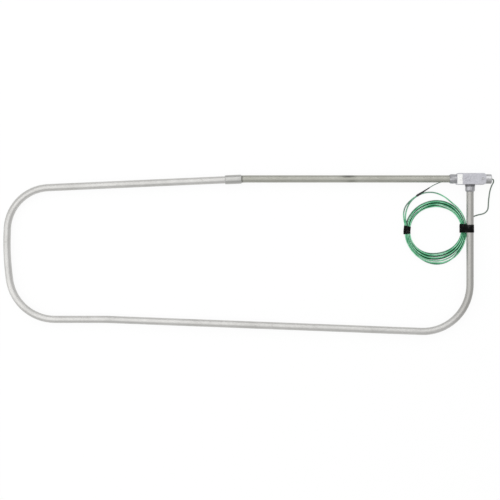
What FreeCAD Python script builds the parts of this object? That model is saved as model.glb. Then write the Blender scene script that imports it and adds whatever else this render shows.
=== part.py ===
"""Radio loop antenna: turns of wire inside a bent metal tube, closed by a tee with a cable gland.

Lengths in millimetres, angles in degrees. The loop lies flat with its front up. Sizes are set
from the tee's centre, and the finished pieces are moved so that the origin lies on the
supporting surface under the middle of the rigid pieces, cable left out.
"""
import FreeCAD, Part
import math
import os

from FreeCAD import Vector

os.makedirs("parts", exist_ok=True)

# Tube
tube_od = 17.93
tube_wall = 1.07

# Clearances, and how far a cut runs past the surface that it opens
slide_fit = 0.05
touch_gap = 0.1
drop_gap = 0.3
overrun = 1.0

# Loop, walked from the tee to the left, down, right and up to the tee; bends are (radius, turn)
top_run = 554.6
slack_bend = (300.0, 2.53)
sleeve_run = 24.2
upper_run = 463.5
upper_left_bend = (106.5, 84.3)
left_side_bend = (667.0, 11.2)
lower_left_radius = 114.8
lower_left_run = 122.8
sag_bend = (300.0, -2.19)
lower_right_radius = 117.7

# Sleeve that joins the two tubes
sleeve_length = 41.0
sleeve_od = 22.5
sleeve_stop_width = 1.5
sleeve_chamfer = 1.2
sleeve_screw_inset = 9.0
sleeve_screw_diameter = 4.8
sleeve_screw_head = (6.6, 2.0)

# Tee housing, with three hubs
tee_length = 73.0
tee_width = 28.3
tee_offset = 1.9
tee_floor_wall = 3.0
tee_side_wall = 3.0
hub_depth = 7.0
hub_bore = 20.6
hub_cover_wall = 1.2
tee_corner_radius = 4.0
tee_nose_chamfer = 4.4
tee_back_edge = 1.2
tee_cavity_radius = 2.0
axis_height = 14.5

# Cover, gasket and screws
gasket_thickness = 1.0
cover_thickness = 2.0
cover_edge = 0.9
cover_inset = 0.3
cover_screw_inset = 8.5
cover_screw_diameter = 3.0
cover_screw_length = 8.5
cover_screw_head = (6.2, 2.0)
screw_slot = (0.9, 0.8)
screw_head_side = 0.55
screw_head_crown = 0.7
screw_post_width = 7.0
screw_post_length = 4.4
screw_post_depth = 8.0

# Tube connectors: a body, a split ring and a nut with an inner cone
neck_od = 23.2
left_neck = 5.0
bottom_neck = 0.6
body_thread_od = 20.2
body_thread_length = 7.5
tube_stop = 0.8
nut_od = 24.0
nut_flats = 12
nut_length = 12.0
nut_taper_length = 3.5
nut_tip_od = 19.6
nut_cone_start = 9.1
nut_cone_end = 10.6
nut_mouth_gap = 0.35
nut_flat_depth = 0.25
nut_seat = 0.2
ring_length = 2.8
ring_split = 1.6

# Insulating bushing, the break that keeps the tube from being a closed turn
bushing_flange_od = 25.4
bushing_flange = 5.3
bushing_bore = 19.0
bushing_edge = 1.0

# Cable gland
gland_flange = 4.0
gland_od = 23.8
gland_thread_od = 18.6
gland_thread_length = 7.0
gland_wire_bore = 9.0
seal_pocket_od = 13.0
seal_pocket_depth = 9.0
seal_proud = 0.5
washer_thickness = 0.8
washer_od = 17.0
gland_mouth = 8.0
gland_nut_length = 11.0
gland_dome = 2.5

# Winding and splices
winding_od = 6.0
winding_tail_left = 5.0
winding_tail_bottom = 4.0
lead_wire_od = 1.5
lead_twist = 0.9
lead_bend_run = 12.2
cap_length = 12.0
cap_skirt = 6.6
cap_od = 7.0
cap_tip_od = 4.6
cap_seat = (-1.0, 7.0)
cap_heights = (9.0, 18.4)
ground_screw_place = (18.0, 6.5)
ground_screw_head = (6.4, 2.4)
ground_post = (8.0, 2.0)
blind_floor = 1.0

# Cable
cable_od = 3.4
cable_end_inside = 5.0
tape_width = 19.0
tape_thickness = 0.6
tape_gap = 0.3
tape_lift = 0.05

# Coil
coil_centre = (-85.4, -131.6)
coil_radius = 70.3
coil_squeeze = 2.8
coil_turns = 7.5
coil_pitch = 3.85
coil_spread = 0.4
coil_rise = 3.9
loose_turns = ((0.2306, 0.145, 7.0), (6.675, 0.158, 24.5))
loose_power = 1.3
heading_step = 0.002
coil_tape_angle = 178.5
hull_steps = 72
pipe_tape_y = -124.7

# Free cable, seen from the front with the tee's centre as zero
lead_route = [
    (58.4, 0.0, 14.5), (60.0, -7.5, 10.4), (55.6, -16.2, 6.2), (52.4, -27.0, 3.2),
    (50.6, -38.8, 1.8), (49.0, -51.0, 1.8), (48.2, -63.2, 1.8), (47.6, -74.8, 1.8),
    (42.8, -82.5, 1.8), (35.0, -87.2, 1.8), (22.6, -89.4, 1.8), (10.8, -93.4, 1.8),
    (0.4, -101.2, 2.0), (-6.7, -111.2, 2.7),
]
tail_route = [
    (-162.6, -109.0, 6.1), (-164.8, -95.4, 4.2), (-164.5, -81.6, 2.5), (-160.4, -68.8, 1.8),
    (-152.0, -57.8, 2.2),
]
join_run = 10.5
arc_share = 0.45

# Shrunk sleeve and thin lead at the cable's end
shrink_start = (-132.5, -42.5)
shrink_angle = 33.0
shrink_height = 3.15
shrink_profile = ((0.0, 2.5), (2.0, 3.0), (10.0, 2.9), (18.0, 1.9), (38.0, 1.5), (40.0, 1.2))
thin_od = 2.0
thin_join = 7.5
thin_route = [(-84.2, -12.6, 1.9), (-75.6, -8.8, 1.3), (-66.8, -6.6, 1.3), (-58.8, -3.8, 1.3)]

# Values that follow from the ones above
tube_radius = tube_od / 2
bore_radius = tube_radius - tube_wall
casting_top = axis_height + hub_bore / 2 + hub_cover_wall
cover_top = casting_top + gasket_thickness + cover_thickness
tee_left = tee_offset - tee_length / 2
tee_right = tee_offset + tee_length / 2
tee_half = tee_width / 2
coil_height = tape_lift + tape_thickness + tape_gap + cable_od / 2
seal_end = gland_flange - (seal_pocket_depth - gland_thread_length) + seal_pocket_depth + seal_proud
gland_exit = tee_right + seal_end

right = Vector(1, 0, 0)
left = Vector(-1, 0, 0)
down = Vector(0, -1, 0)
up = Vector(0, 0, 1)


def at(x, y, z=0.0):
    return Vector(x, y, z)


def arc_middle(start, corner, end):
    """Middle of the arc that leaves start towards corner and reaches end from it."""
    chord_middle = (start + end) * 0.5
    half_cosine = (start - chord_middle).Length / (corner - start).Length
    return chord_middle + (corner - chord_middle) * (half_cosine / (1 + half_cosine))


def arc_edge(start, corner, end):
    return Part.Arc(start, arc_middle(start, corner, end), end).toShape()


def line_edge(start, end):
    return Part.LineSegment(start, end).toShape()


def rounded_path(points):
    """Straight runs joined by tangent arcs, each as large as its two runs allow."""
    edges = []
    radii = []
    here = points[0]
    for before, corner, after in zip(points, points[1:], points[2:]):
        into = corner - before
        out = after - corner
        turn = into.getAngle(out)
        setback = arc_share * min(into.Length, out.Length)
        radii.append(setback / math.tan(turn / 2))
        start = corner - into.normalize() * setback
        end = corner + out.normalize() * setback
        edges.append(line_edge(here, start))
        edges.append(arc_edge(start, corner, end))
        here = end
    edges.append(line_edge(here, points[-1]))
    return Part.Wire(edges), radii


def pipe(path, radius):
    """Round solid of one radius along a path."""
    first = path.OrderedEdges[0]
    start = first.valueAt(first.FirstParameter)
    heading = first.tangentAt(first.FirstParameter)
    ring = Part.Wire([Part.makeCircle(radius, start, heading)])
    return path.makePipeShell([ring], True, False)


def turned(profile, origin, heading):
    """Solid of revolution: (distance along heading, radius) points, placed at origin."""
    points = [Vector(along, radius, 0) for along, radius in profile]
    face = Part.Face(Part.makePolygon(points + points[:1]))
    solid = face.revolve(Vector(0, 0, 0), Vector(1, 0, 0), 360)
    solid.Placement = FreeCAD.Placement(origin, FreeCAD.Rotation(Vector(1, 0, 0), heading))
    return solid


def ring_profile(start, end, outer, inner):
    return [(start, inner), (end, inner), (end, outer), (start, outer)]


def block(x_range, y_range, z_range):
    sizes = [span[1] - span[0] for span in (x_range, y_range, z_range)]
    return Part.makeBox(*sizes, at(x_range[0], y_range[0], z_range[0]))


def rounded_block(x_range, y_range, z_range, radius):
    """Block with its four upright edges rounded."""
    solid = block(x_range, y_range, z_range)
    upright = [edge for edge in solid.Edges if abs(edge.tangentAt(edge.FirstParameter).z) > 0.9]
    return solid.makeFillet(radius, upright)


def walk(start, heading, steps):
    """Runs (length,) and bends (radius, turn) one after another, from start."""
    edges = []
    here = start
    angle = heading
    for step in steps:
        ahead = at(math.cos(math.radians(angle)), math.sin(math.radians(angle)))
        if len(step) == 1:
            end = here + ahead * step[0]
            edges.append(line_edge(here, end))
        else:
            radius, turn = step
            setback = radius * math.tan(math.radians(abs(turn) / 2))
            corner = here + ahead * setback
            angle += turn
            leaving = at(math.cos(math.radians(angle)), math.sin(math.radians(angle)))
            end = corner + leaving * setback
            edges.append(arc_edge(here, corner, end))
        here = end
    return edges, here, angle


def sleeve_seat():
    """The sleeve's centre at the axis height, and the tubes' heading there."""
    here, angle = walk(at(0, 0, axis_height), 180, [(top_run,), slack_bend, (sleeve_run,)])[1:]
    return here, angle


def loop_steps():
    """Steps from the sleeve's centre, the lower run sized so that the loop closes at the tee."""
    start, heading = sleeve_seat()
    lower_left_turn = 360 - heading - upper_left_bend[1] - left_side_bend[1]
    lower_right_turn = 90 - sag_bend[1]
    fixed = [
        (upper_run,), upper_left_bend, left_side_bend,
        (lower_left_radius, lower_left_turn), (lower_left_run,), sag_bend,
    ]
    last_bend = (lower_right_radius, lower_right_turn)
    here, angle = walk(start, heading, fixed)[1:]
    bent = walk(at(0, 0), angle, [last_bend])[1]
    lower_run = -(here.x + bent.x) / math.cos(math.radians(angle))
    bottom = here.y + bent.y + lower_run * math.sin(math.radians(angle))
    return fixed + [(lower_run,), last_bend], -bottom


def whole_loop(start, riser_end, height):
    """The loop's centre line, from start beside the tee to riser_end below its centre."""
    steps, riser = loop_steps()
    steps[0] = (sleeve_run + upper_run,)
    steps = [(top_run + start,), slack_bend] + steps + [(riser - riser_end,)]
    return Part.Wire(walk(at(start, 0, height), 180, steps)[0])


def left_tube_end():
    return tee_left - tube_stop


def bottom_tube_end():
    return tee_half + bushing_flange + tube_stop


def hollow(edges):
    path = Part.Wire(edges)
    return pipe(path, tube_radius).cut(pipe(path, bore_radius))


def loop_tube():
    """The bent tube, from the stop inside the sleeve to its end below the tee."""
    start, heading = sleeve_seat()
    stop = sleeve_stop_width / 2
    steps, riser = loop_steps()
    steps[0] = (upper_run - stop,)
    steps.append((riser - bottom_tube_end(),))
    start += sleeve_direction() * stop
    return hollow(walk(start, heading, steps)[0])


def top_tube():
    """The tube between tee and sleeve, slightly bent just before the sleeve."""
    start = left_tube_end()
    steps = [(top_run + start,), slack_bend, (sleeve_run - sleeve_stop_width / 2,)]
    return hollow(walk(at(start, 0, axis_height), 180, steps)[0])


def sleeve_direction():
    heading = math.radians(sleeve_seat()[1])
    return at(math.cos(heading), math.sin(heading))


def sleeve_screw_places():
    reach = sleeve_length / 2 - sleeve_screw_inset
    return [sleeve_seat()[0] + sleeve_direction() * (side * reach) for side in (-1, 1)]


def coupling_sleeve():
    half = sleeve_length / 2
    outer = sleeve_od / 2
    edge = outer - sleeve_chamfer
    seat = tube_radius + slide_fit
    stop = sleeve_stop_width / 2
    profile = [
        (-half, seat), (-stop, seat), (-stop, bore_radius), (stop, bore_radius), (stop, seat),
        (half, seat), (half, edge), (half - sleeve_chamfer, outer),
        (sleeve_chamfer - half, outer), (-half, edge),
    ]
    sleeve = turned(profile, sleeve_seat()[0], sleeve_direction())
    for place in sleeve_screw_places():
        hole = Part.makeCylinder(sleeve_screw_diameter / 2 + slide_fit, sleeve_od, place, -up)
        sleeve = sleeve.cut(hole)
    return sleeve


def slotted_screw(head, shank_diameter, shank_length):
    """Screw pointing down, its head's seat at zero."""
    head_diameter, head_height = head
    radius = head_diameter / 2
    profile = [
        (-shank_length, 0), (-shank_length, shank_diameter / 2), (0, shank_diameter / 2),
        (0, radius), (head_height * screw_head_side, radius),
        (head_height, radius * screw_head_crown), (head_height, 0),
    ]
    screw = turned(profile, at(0, 0), up)
    slot_width, slot_depth = screw_slot
    slot = block(
        (-radius, radius), (-slot_width / 2, slot_width / 2),
        (head_height - slot_depth, head_height + overrun),
    )
    return screw.cut(slot)


def coupling_set_screws():
    screws = []
    shank = sleeve_od / 2 - tube_radius - touch_gap
    for place in sleeve_screw_places():
        screw = slotted_screw(sleeve_screw_head, sleeve_screw_diameter, shank)
        screw.rotate(at(0, 0), sleeve_direction(), 180)
        screw.translate(place - up * (sleeve_od / 2))
        screws.append(screw)
    return Part.makeCompound(screws)


def tee_outline(bottom, top, inset=0.0):
    """The housing's plan: rounded at the left, with a chamfered nose at the right."""
    half = tee_half - inset
    west = tee_left + inset
    east = tee_right - inset
    nose = east - tee_nose_chamfer
    corners = [
        at(west, -half), at(nose, -half), at(east, tee_nose_chamfer - half),
        at(east, half - tee_nose_chamfer), at(nose, half), at(west, half),
    ]
    plan = Part.Face(Part.makePolygon(corners + corners[:1]))
    solid = plan.extrude(up * (top - bottom))
    solid.translate(up * bottom)
    west_edges = [
        edge for edge in solid.Edges
        if abs(edge.tangentAt(edge.FirstParameter).z) > 0.9 and edge.CenterOfMass.x < west + 0.1
    ]
    return solid.makeFillet(tee_corner_radius - inset, west_edges)


def cover_screw_places():
    return [tee_left + cover_screw_inset, tee_right - cover_screw_inset]


def cavity_range():
    return tee_left + hub_depth, tee_right - hub_depth


def screw_posts(bottom, top):
    """Posts at both ends of the cavity, standing on the hub walls."""
    posts = []
    for end, side in zip(cavity_range(), (1, -1)):
        reach = sorted((end - side, end + side * screw_post_length))
        half = screw_post_width / 2
        posts.append(block(reach, (-half, half), (bottom, top)))
    return posts


def wiring_cavity(bottom, top):
    """The housing's inner room, less the bottom hub's inner wall and the screw posts."""
    half = tee_half - tee_side_wall
    room = rounded_block(cavity_range(), (-half, half), (bottom, top), tee_cavity_radius)
    hub_half = hub_bore / 2 + tee_side_wall
    hub_wall = block((-hub_half, hub_half), (-tee_half, hub_depth - tee_half), (bottom, top))
    return room.cut(hub_wall)


def tee_body():
    body = tee_outline(0, casting_top)
    back = [edge for edge in body.Edges if edge.BoundBox.ZMax < 0.01]
    body = body.makeChamfer(tee_back_edge, back)
    body = body.cut(wiring_cavity(tee_floor_wall, casting_top + overrun))
    for post in screw_posts(casting_top - screw_post_depth, casting_top):
        body = body.fuse(post)
    for end, heading in ((tee_left, right), (tee_right, left)):
        hub = Part.makeCylinder(hub_bore / 2, hub_depth, at(end, 0, axis_height), heading)
        body = body.cut(hub)
    hub = Part.makeCylinder(hub_bore / 2, hub_depth + overrun, at(0, -tee_half, axis_height), -down)
    body = body.cut(hub)
    radius = cover_screw_diameter / 2 + slide_fit
    depth = cover_screw_length - gasket_thickness - cover_thickness + touch_gap
    for x in cover_screw_places():
        body = body.cut(Part.makeCylinder(radius, depth, at(x, 0, casting_top), -up))
    x, y = ground_screw_place
    post_od, post_height = ground_post
    body = body.fuse(Part.makeCylinder(post_od / 2, post_height, at(x, y, tee_floor_wall)))
    hole = Part.makeCylinder(radius, post_height + tee_floor_wall - blind_floor, at(x, y, blind_floor))
    return body.cut(hole).removeSplitter()


def screw_holes(plate, bottom, thickness):
    """The plate with a clearance hole for each cover screw."""
    radius = cover_screw_diameter / 2 + touch_gap
    for x in cover_screw_places():
        start = at(x, 0, bottom - overrun)
        plate = plate.cut(Part.makeCylinder(radius, thickness + 2 * overrun, start))
    return plate


def tee_gasket():
    top = casting_top + gasket_thickness
    gasket = tee_outline(casting_top, top, cover_inset)
    opening = wiring_cavity(casting_top - overrun, top + overrun)
    for post in screw_posts(casting_top - overrun, top + overrun):
        opening = opening.cut(post)
    return screw_holes(gasket.cut(opening), casting_top, gasket_thickness)


def tee_cover():
    bottom = casting_top + gasket_thickness
    cover = tee_outline(bottom, cover_top, cover_inset)
    rim = [edge for edge in cover.Edges if edge.BoundBox.ZMin > cover_top - 0.01]
    return screw_holes(cover.makeFillet(cover_edge, rim), bottom, cover_thickness)


def cover_screws():
    screws = []
    for x in cover_screw_places():
        screw = slotted_screw(cover_screw_head, cover_screw_diameter, cover_screw_length)
        screw.translate(at(x, 0, cover_top))
        screws.append(screw)
    return Part.makeCompound(screws)


def ground_screw():
    x, y = ground_screw_place
    height = tee_floor_wall + ground_post[1]
    screw = slotted_screw(ground_screw_head, cover_screw_diameter, height - blind_floor - touch_gap)
    screw.translate(at(x, y, height))
    return screw


def connector_body(origin, heading, shank_start, shank_radius, neck_start, neck):
    """Threaded body: its shank sits in a hub and its socket stops the tube's end."""
    seat = tube_radius + slide_fit
    stop = neck_start + tube_stop
    thread_start = neck_start + neck
    thread_end = thread_start + body_thread_length
    profile = [
        (shank_start, bore_radius), (stop, bore_radius), (stop, seat), (thread_end, seat),
        (thread_end, body_thread_od / 2), (thread_start, body_thread_od / 2),
        (thread_start, neck_od / 2), (neck_start, neck_od / 2), (neck_start, shank_radius),
        (shank_start, shank_radius),
    ]
    return turned(profile, origin, heading)


def split_ring(origin, heading, nut_start):
    """Gripping ring between body and nut, coned to fit the nut and cut through at one side."""
    start = nut_start - nut_seat + body_thread_length + touch_gap
    end = start + ring_length
    cone = nut_start + nut_cone_start - touch_gap
    outer = body_thread_od / 2 - touch_gap
    slope = (body_thread_od / 2 + slide_fit - tube_radius - nut_mouth_gap)
    slope /= nut_cone_end - nut_cone_start
    profile = [
        (start, tube_radius + slide_fit), (end, tube_radius + slide_fit),
        (end, outer - slope * (end - cone)), (cone, outer), (start, outer),
    ]
    ring = turned(profile, origin, heading)
    side = Vector(heading.y, heading.x, 0)
    gap = Part.makeBox(ring_split, 2 * tube_od, 2 * tube_od, at(-ring_split / 2, -tube_od, 0))
    gap.Placement = FreeCAD.Placement(origin, FreeCAD.Rotation(right, side)) * gap.Placement
    return ring.cut(gap)


def flats(radius, length, origin, heading):
    """Prism with many flats, for a nut's grip."""
    corner = radius / math.cos(math.pi / nut_flats)
    angles = [2 * math.pi * (n + 0.5) / nut_flats for n in range(nut_flats)]
    points = [Vector(0, corner * math.cos(a), corner * math.sin(a)) for a in angles]
    prism = Part.Face(Part.makePolygon(points + points[:1])).extrude(Vector(length, 0, 0))
    prism.Placement = FreeCAD.Placement(origin, FreeCAD.Rotation(right, heading))
    return prism


def compression_nut(origin, heading, start):
    """Nut that closes a connector: flats outside, a thread bore and a cone inside."""
    thread = body_thread_od / 2 + slide_fit
    mouth = tube_radius + nut_mouth_gap
    end = start + nut_length
    profile = [
        (start, thread), (start + nut_cone_start, thread), (start + nut_cone_end, mouth),
        (end, mouth), (end, nut_tip_od / 2), (end - nut_taper_length, nut_od / 2),
        (start, nut_od / 2),
    ]
    nut = turned(profile, origin, heading)
    grip = flats(nut_od / 2 - nut_flat_depth, nut_length, origin + heading * start, heading)
    return nut.common(grip)


def tee_face(heading):
    """Centre of the hub face that looks along heading."""
    if heading == down:
        return at(0, -tee_half, axis_height)
    return at(tee_right if heading == right else tee_left, 0, axis_height)


def left_connector():
    radius = hub_bore / 2 - slide_fit
    return connector_body(tee_face(left), left, -hub_depth, radius, 0.0, left_neck)


def bottom_connector():
    radius = bushing_bore / 2 - slide_fit
    return connector_body(
        tee_face(down), down, -hub_depth, radius, bushing_flange, bottom_neck,
    )


def left_nut_start():
    return left_neck + nut_seat


def bottom_nut_start():
    return bushing_flange + bottom_neck + nut_seat


def insulating_bushing():
    outer = bushing_flange_od / 2
    shank = hub_bore / 2 - slide_fit
    bore = bushing_bore / 2
    profile = [
        (-hub_depth, bore), (bushing_flange, bore), (bushing_flange, outer - bushing_edge),
        (bushing_flange - bushing_edge, outer), (0, outer), (0, shank), (-hub_depth, shank),
    ]
    return turned(profile, tee_face(down), down)


def seal_start():
    return gland_flange + gland_thread_length - seal_pocket_depth


def gland_body():
    thread_end = gland_flange + gland_thread_length
    profile = [
        (-hub_depth, gland_wire_bore / 2), (seal_start(), gland_wire_bore / 2),
        (seal_start(), seal_pocket_od / 2), (thread_end, seal_pocket_od / 2),
        (thread_end, gland_thread_od / 2), (gland_flange, gland_thread_od / 2),
        (gland_flange, gland_od / 2), (0, gland_od / 2), (0, hub_bore / 2 - slide_fit),
        (-hub_depth, hub_bore / 2 - slide_fit),
    ]
    return turned(profile, tee_face(right), right)


def gland_seal():
    profile = ring_profile(
        seal_start() + touch_gap, seal_end, seal_pocket_od / 2 - touch_gap, cable_od / 2 + slide_fit,
    )
    return turned(profile, tee_face(right), right)


def gland_washer():
    start = seal_end + touch_gap
    profile = ring_profile(start, start + washer_thickness, washer_od / 2, gland_mouth / 2)
    return turned(profile, tee_face(right), right)


def gland_nut():
    start = gland_flange + nut_seat
    end = start + gland_nut_length
    wall = seal_end + washer_thickness + 2 * touch_gap
    thread = gland_thread_od / 2 + slide_fit
    outer = gland_od / 2
    points = [
        (start, thread), (wall, thread), (wall, gland_mouth / 2), (end, gland_mouth / 2),
        (end, outer - gland_dome),
    ]
    rim = (end - gland_dome, outer)
    bend = gland_dome * (1 - math.sqrt(0.5))
    edges = [
        line_edge(Vector(*a, 0), Vector(*b, 0)) for a, b in zip(points, points[1:])
    ]
    crown = Part.Arc(Vector(*points[-1], 0), Vector(end - bend, outer - bend, 0), Vector(*rim, 0))
    edges.append(crown.toShape())
    edges.append(line_edge(Vector(*rim, 0), Vector(start, outer, 0)))
    edges.append(line_edge(Vector(start, outer, 0), Vector(*points[0], 0)))
    nut = Part.Face(Part.Wire(edges)).revolve(at(0, 0), right, 360)
    nut.translate(tee_face(right))
    return nut


def winding_height():
    return axis_height - bore_radius + winding_od / 2 + drop_gap


def loop_winding():
    """Bundle of the loop's turns, lying on the bottom of the tube's bore."""
    start = cavity_range()[0] + winding_tail_left
    end = tee_half - hub_depth - winding_tail_bottom
    return pipe(whole_loop(start, end, winding_height()), winding_od / 2)


def splice_caps():
    caps = []
    x, y = cap_seat
    for height in cap_heights:
        profile = [
            (0, 0), (0, cap_od / 2), (cap_skirt, cap_od / 2),
            (cap_length, cap_tip_od / 2), (cap_length, 0),
        ]
        caps.append(turned(profile, at(x, y, height), left))
    return Part.makeCompound(caps)


def inner_leads():
    """The cable's end inside the gland, and the wires from both windings to the caps."""
    cable_start = cavity_range()[1] - cable_end_inside
    cable_length = gland_exit - cable_start
    cable = Part.makeCylinder(cable_od / 2, cable_length, at(cable_start, 0, axis_height), right)
    x, y = cap_seat
    low, high = cap_heights
    level = winding_height()
    west = cavity_range()[0] + winding_tail_left
    south = hub_depth + winding_tail_bottom - tee_half
    twist = lead_twist
    routes = [
        [(west, 1.0, level), (west + 5, 1.0, level), (x - 10, -0.6, level - 1.4),
         (x + 1, -1.6, level - 2.6), (x + 8, 0.8, low - 1.2), (x + 8.5, y - twist, low),
         (x, y - twist, low)],
        [(0.8, south, level), (0.8, south + 3.5, level), (x + 4.8, y - 6.8, high - 4.2),
         (x + 8, y - 3.6, high), (x + 6.4, y - twist, high), (x, y - twist, high)],
        [(cable_start, 0.8, axis_height), (cable_start - 4, 1.6, axis_height - 1.6),
         (cable_start - lead_bend_run, y - 2.6, low + 2.4), (x + 8, y + twist, low), (x, y + twist, low)],
        [(cable_start, -0.8, axis_height), (cable_start - 4, -0.6, axis_height + 1.6),
         (cable_start - lead_bend_run, y - 4.6, high - 1.2), (x + 9.6, y + twist, high), (x, y + twist, high)],
    ]
    leads = [cable]
    for route in routes:
        path = rounded_path([Vector(*point) for point in route])[0]
        leads.append(pipe(path, lead_wire_od / 2))
    return Part.makeCompound(leads)


def looseness(turn):
    """How far a loose turn stands out of the bundle."""
    total = 0.0
    for middle, half_width, height in loose_turns:
        share = abs(turn - middle) / half_width
        if share < 1:
            total += height * math.cos(share * math.pi / 2) ** loose_power
    return total


def coil_point(turn):
    """Centre of the cable after so many turns, clockwise from the coil's right-hand side.

    The upper layer lies half a pitch to the right, so that its strands rest on the lower ones.
    """
    angle = -2 * math.pi * turn
    reversal = coil_turns / 2
    inward = reversal - abs(turn - reversal)
    across = math.sin(angle) ** 2
    radius = coil_radius - coil_squeeze * across
    radius += (reversal / 2 - inward) * coil_pitch * (1 + coil_spread * across)
    radius += looseness(turn)
    climb = min(max((turn - reversal) * 2 + 0.5, 0.0), 1.0)
    climb = (1 - math.cos(math.pi * climb)) / 2
    radius += climb * math.cos(angle) * coil_pitch / 2
    height = coil_height + coil_rise * climb
    x = coil_centre[0] + radius * math.cos(angle)
    y = coil_centre[1] + radius * math.sin(angle)
    return at(x, y, height)


def coil_heading(turn):
    step = heading_step
    before = coil_point(max(turn - step, 0.0))
    after = coil_point(min(turn + step, coil_turns))
    return (after - before).normalize()


def biarc(start, leaving, end, arriving):
    """Two tangent arcs between two points with given headings."""
    across = end - start
    both = leaving + arriving
    bend = 2 * (1 - leaving.dot(arriving))
    reach = across.dot(both)
    length = (math.sqrt(reach * reach + bend * across.dot(across)) - reach) / bend
    first_corner = start + leaving * length
    second_corner = end - arriving * length
    middle = (first_corner + second_corner) * 0.5
    return [arc_edge(start, first_corner, middle), arc_edge(middle, second_corner, end)]


def coil_stations():
    """Quarter turns, and the crest of each loose turn."""
    quarters = [quarter / 4 for quarter in range(round(coil_turns * 4) + 1)]
    return sorted(quarters + [loose[0] for loose in loose_turns if loose[2] > 4 * cable_od])


def coil_path():
    edges = []
    stations = coil_stations()
    for before, after in zip(stations, stations[1:]):
        edges += biarc(
            coil_point(before), coil_heading(before), coil_point(after), coil_heading(after),
        )
    return Part.Wire(edges)


def least_self_gap(path, diameter):
    """Least gap between stretches of the coil that lie a half turn or more apart along it."""
    points = path.discretize(Number=1800)
    apart = len(points) / coil_turns / 2
    least = 1e9
    for first in range(len(points)):
        for second in range(first + int(apart), len(points)):
            dx = points[first].x - points[second].x
            dy = points[first].y - points[second].y
            if abs(dx) < 9 and abs(dy) < 9:
                dz = points[first].z - points[second].z
                least = min(least, math.sqrt(dx * dx + dy * dy + dz * dz))
    return least - diameter


def cable_coil():
    path = coil_path()
    solid = pipe(path, cable_od / 2)
    report_cord("cable_coil", solid, path, cable_od, [])
    print("cable_coil least gap to itself", round(least_self_gap(path, cable_od), 2))
    return solid


def report_cord(name, solid, path, diameter, radii):
    section = math.pi * diameter * diameter / 4
    share = solid.Volume / (section * path.Length)
    print(name, "length", round(path.Length, 1), "volume over section times length", round(share, 4))
    if radii:
        print(name, "bend radii", [round(radius, 1) for radius in radii])


def free_stretch(name, points, diameter):
    path, radii = rounded_path(points)
    solid = pipe(path, diameter / 2)
    report_cord(name, solid, path, diameter, radii)
    return solid


def cable_lead():
    end = coil_point(0)
    points = [at(gland_exit, 0, axis_height)]
    points += [Vector(*point) for point in lead_route]
    points += [end - coil_heading(0) * join_run, end]
    return free_stretch("cable_lead", points, cable_od)


def shrink_heading():
    angle = math.radians(shrink_angle)
    return at(math.cos(angle), math.sin(angle))


def tail_points():
    start = coil_point(coil_turns)
    end = at(*shrink_start, shrink_height)
    points = [start, start + coil_heading(coil_turns) * join_run]
    points += [Vector(*point) for point in tail_route]
    return points + [end - shrink_heading() * join_run, end]


def cable_tail():
    return free_stretch("cable_tail", tail_points(), cable_od)


def heat_shrink():
    ends = [(shrink_profile[0][0], 0)] + list(shrink_profile) + [(shrink_profile[-1][0], 0)]
    return turned(ends, at(*shrink_start, shrink_height), shrink_heading())


def tail_lead():
    start = at(*shrink_start, shrink_height) + shrink_heading() * shrink_profile[-1][0]
    points = [start, start + shrink_heading() * thin_join]
    points += [Vector(*point) for point in thin_route]
    return free_stretch("tail_lead", points, thin_od)


def hull_turns(circles):
    """Circles on the outline of a taut band, each with the angle where the band leaves it."""
    order = []
    for step in range(hull_steps):
        angle = 2 * math.pi * (step + 0.4) / hull_steps
        reach = [
            x * math.cos(angle) + z * math.sin(angle) + radius for x, z, radius in circles
        ]
        best = reach.index(max(reach))
        if not order or order[-1] != best:
            order.append(best)
    if order[0] == order[-1]:
        order.pop()
    turns = []
    for this, following in zip(order, order[1:] + order[:1]):
        x, z, radius = circles[this]
        next_x, next_z, next_radius = circles[following]
        distance = math.hypot(next_x - x, next_z - z)
        towards = math.atan2(next_z - z, next_x - x)
        turns.append((circles[this], towards - math.acos((radius - next_radius) / distance)))
    return turns


def band_outline(circles, grow):
    """Closed outline in x and z of a band drawn tight round circles, set off by grow."""
    turns = hull_turns(circles)
    edges = []
    last_angle = turns[-1][1]
    last_point = None
    for (x, z, radius), angle in turns:
        while angle < last_angle:
            angle += 2 * math.pi
        reach = radius + grow
        spots = [
            at(x + reach * math.cos(a), 0, z + reach * math.sin(a))
            for a in (last_angle, (last_angle + angle) / 2, angle)
        ]
        if last_point is not None:
            edges.append(line_edge(last_point, spots[0]))
        else:
            first_point = spots[0]
        edges.append(Part.Arc(*spots).toShape())
        last_point = spots[2]
        last_angle = angle % (2 * math.pi)
    edges.append(line_edge(last_point, first_point))
    return Part.Face(Part.Wire(edges))


def band_section(circles):
    outer = band_outline(circles, tape_gap + tape_thickness)
    return outer.cut(band_outline(circles, tape_gap))


def strands_at(angle):
    """Cable centres where the coil's turns cross one direction from its centre."""
    first = (-angle / 360) % 1
    count = int(coil_turns - first) + 1
    return [coil_point(first + turn) for turn in range(count)]


def coil_tape():
    """Tape round the bundle at the coil's left, square to the strands."""
    spread = math.degrees(tape_width / coil_radius)
    tail = rounded_path(tail_points())[0].discretize(Distance=1.0)
    strands = [point for point in tail if point.y < coil_centre[1] + tape_width * 0.7]
    for side in (-0.5, 0.0, 0.5):
        strands += strands_at(coil_tape_angle + side * spread)
    circles = []
    for strand in strands:
        distance = math.hypot(strand.x - coil_centre[0], strand.y - coil_centre[1])
        circles.append((distance, strand.z, cable_od / 2))
    tape = band_section(circles).revolve(at(0, 0), up, spread)
    tape.rotate(at(0, 0), up, coil_tape_angle - spread / 2)
    tape.translate(at(*coil_centre))
    return tape


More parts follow.
